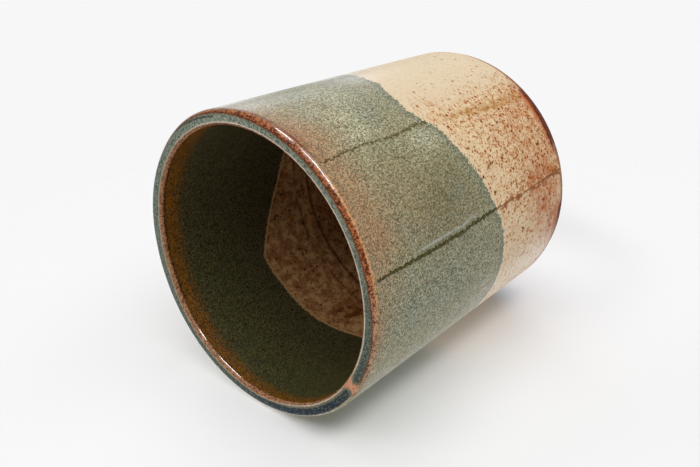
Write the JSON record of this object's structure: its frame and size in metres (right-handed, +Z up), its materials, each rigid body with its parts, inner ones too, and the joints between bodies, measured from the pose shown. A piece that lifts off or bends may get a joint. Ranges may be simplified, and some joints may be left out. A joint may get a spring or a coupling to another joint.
{
  "type": "yunomi tea cup",
  "caption": "Tapered stoneware tea cup with a rounded lip, a bare flat foot ring and green glaze dipped over cream, held in the hand to drink hot tea from.",
  "frame": {"origin": "middle of the foot, on the table", "axes": "+Z up the axis of the cup, from the foot to the mouth"},
  "size_m": [0.08, 0.0798, 0.088],
  "materials": {
    "clay": "bare iron-speckled stoneware, matt",
    "green_glaze": "mottled grey-green glaze, satin",
    "cream_glaze": "cream glaze with rust iron speckle, satin",
    "lip_glaze": "pooled blue-green glaze, gloss",
    "inner_green_glaze": "dark olive-green glaze, satin",
    "seam": "raised line where the glaze breaks to olive and rust, satin"
  },
  "bodies": {
    "root": {"clay_wall": "clay", "clay_base": "clay", "outer_green_glaze": "green_glaze", "outer_cream_glaze": "cream_glaze", "lip_glaze": "lip_glaze", "inner_green_glaze": "inner_green_glaze", "inner_cream_glaze": "cream_glaze", "floor_glaze": "cream_glaze", "seam_ridges": "seam"}
  },
  "joints": []
}
